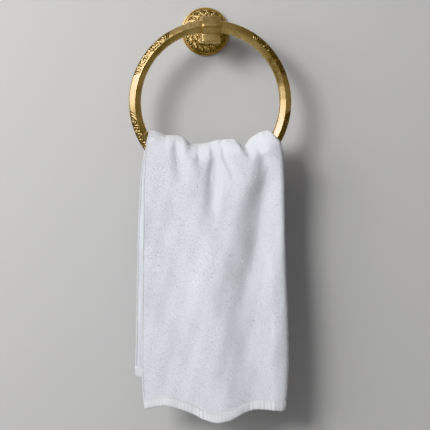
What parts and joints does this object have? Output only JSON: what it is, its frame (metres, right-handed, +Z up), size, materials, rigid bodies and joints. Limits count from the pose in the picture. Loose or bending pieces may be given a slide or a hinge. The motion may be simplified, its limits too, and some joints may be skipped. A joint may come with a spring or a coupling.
{
  "type": "hand towel on towel ring",
  "caption": "White terry hand towel folded in half lengthwise and draped through a wall-mounted brass ring on a round rosette.",
  "frame": {"origin": "centre of the rosette's flat back, on the wall", "axes": "+Z up, +Y into the wall, +X to the right of someone who faces the wall"},
  "size_m": [0.1644, 0.0716, 0.4228],
  "materials": {
    "terry": "matt white cotton terry with flat woven hems",
    "ring_brass": "aged polished brass, engraved in panels",
    "knuckle_brass": "aged satin brass",
    "post_brass": "aged satin brass",
    "rosette_brass": "aged brass, engraved all over"
  },
  "bodies": {
    "root": {"hand_towel": "terry", "towel_ring": "ring_brass", "ring_knuckle": "knuckle_brass", "ring_post": "post_brass", "wall_rosette": "rosette_brass"}
  },
  "joints": []
}
